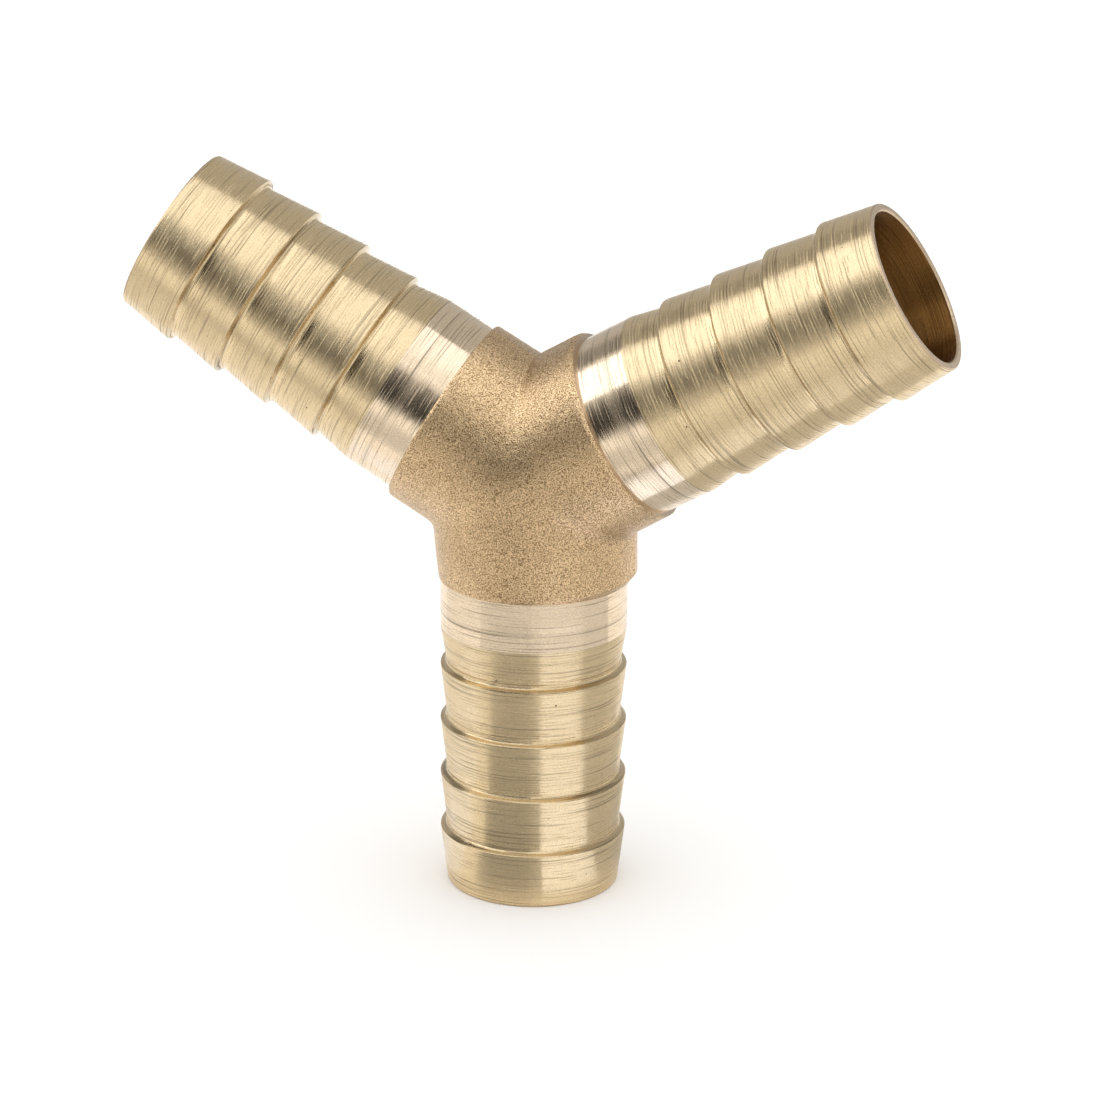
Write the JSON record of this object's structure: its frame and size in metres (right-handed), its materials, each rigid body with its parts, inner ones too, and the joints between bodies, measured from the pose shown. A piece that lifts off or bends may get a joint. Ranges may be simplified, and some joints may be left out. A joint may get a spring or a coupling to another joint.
{
  "type": "barbed hose connector",
  "caption": "Brass hose connector: a forged hub with barbed hose tails of equal size pressed in at 120 degrees to each other, open right through.",
  "frame": {"origin": "the point where the three bore axes meet, in the middle of the hub", "axes": "-Z along the stem's bore, towards its free end; X to the right, in the plane of the three axes; +Y to the back, square to that plane; the left and right tails rise at 30 degrees above -X and +X"},
  "size_m": [0.0848, 0.0202, 0.0736],
  "materials": {
    "forged_brass": "hot forged, sand-blasted to a fine matt grain, faced at the three ends",
    "turned_brass": "bright turned, with fine circumferential tool marks"
  },
  "bodies": {
    "root": {"hub": "forged_brass", "stem_tail": "turned_brass", "left_tail": "turned_brass", "right_tail": "turned_brass"}
  },
  "joints": []
}
